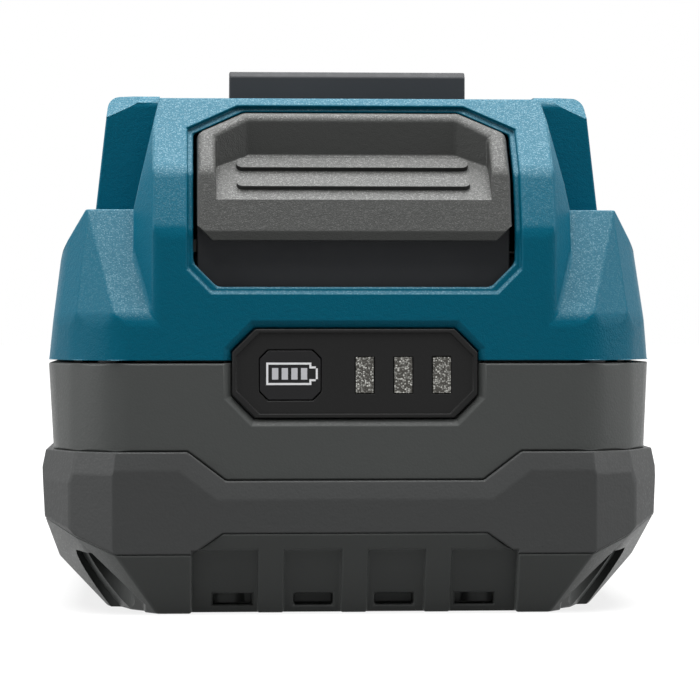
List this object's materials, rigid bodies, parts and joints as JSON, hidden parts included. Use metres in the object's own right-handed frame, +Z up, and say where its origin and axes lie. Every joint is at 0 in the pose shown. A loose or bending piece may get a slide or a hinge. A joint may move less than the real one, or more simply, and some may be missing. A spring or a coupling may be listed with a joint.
{
  "type": "slide-on power tool battery pack",
  "caption": "Slide-on rechargeable battery pack for cordless tools, with rail platform, sprung latch and release button, charge gauge and rubber bumper band.",
  "frame": {"origin": "middle of the underside, where the pack rests", "axes": "+X across the pack, +Y from the button end to the rear (the way the pack slides off the tool is -Y), +Z up to the rails"},
  "size_m": [0.0766, 0.1168, 0.0673],
  "materials": {
    "teal_shell": "fine sparked texture",
    "grey_shell": "fine sparked texture",
    "band": "soft matt overmould",
    "button_grey": "fine sparked texture",
    "slider_black": "smooth moulded",
    "spring_steel": "drawn wire",
    "screw_steel": "black zinc",
    "panel_black": "satin",
    "key_black": "matt silicone",
    "window_frost": "frosted",
    "lamp": "clear resin",
    "board_green": "solder mask",
    "chip_black": "moulded",
    "fuse_white": "ceramic",
    "cell_sleeve": "shrunk sleeve",
    "holder_black": "moulded",
    "nickel": "bright nickel",
    "fibre": "pressed fibre",
    "foam": "closed cell",
    "contact_brass": "plated",
    "connector_cream": "moulded",
    "cable_white": "flat cable"
  },
  "bodies": {
    "pack_body": {"board_screws": "screw_steel", "bumper_band": "band", "case_screws": "screw_steel", "cell_01": "cell_sleeve", "cell_02": "cell_sleeve", "cell_03": "cell_sleeve", "cell_04": "cell_sleeve", "cell_05": "cell_sleeve", "cell_06": "cell_sleeve", "cell_07": "cell_sleeve", "cell_08": "cell_sleeve", "cell_09": "cell_sleeve", "cell_10": "cell_sleeve", "cell_holder_left": "holder_black", "cell_holder_right": "holder_black", "foam_pads": "foam", "fuse": "fuse_white", "gauge_bezel": "panel_black", "gauge_board": "board_green", "gauge_cable": "cable_white", "gauge_leds": "lamp", "gauge_windows": "window_frost", "insulation_sheet_left": "fibre", "insulation_sheet_right": "fibre", "latch_springs": "spring_steel", "lower_case": "grey_shell", "main_board": "board_green", "negative_terminal": "contact_brass", "nickel_strip_left_1": "nickel", "nickel_strip_left_2": "nickel", "nickel_strip_left_3": "nickel", "nickel_strip_right_1": "nickel", "nickel_strip_right_2": "nickel", "nickel_strip_right_3": "nickel", "positive_terminal": "contact_brass", "power_transistors": "chip_black", "signal_connector": "connector_cream", "signal_pins": "contact_brass", "tact_switch": "chip_black", "terminal_block": "holder_black", "thermistor": "chip_black", "upper_case": "teal_shell"},
    "latch": {"release_button": "button_grey", "latch_slider": "slider_black"},
    "check_key": {"check_button": "key_black"}
  },
  "joints": [
    {"name": "latch_slide", "type": "slide", "parent": "pack_body", "child": "latch", "axis": [0, 0, -1], "range_m": [0, 0.005], "stiffness_N_per_m": 2000, "springref_m": -0.002, "deforming": ["latch_springs"]},
    {"name": "check_key_press", "type": "slide", "parent": "pack_body", "child": "check_key", "axis": [0, 1, 0], "range_m": [0, 0.0006], "stiffness_N_per_m": 2000, "springref_m": -0.0004}
  ]
}
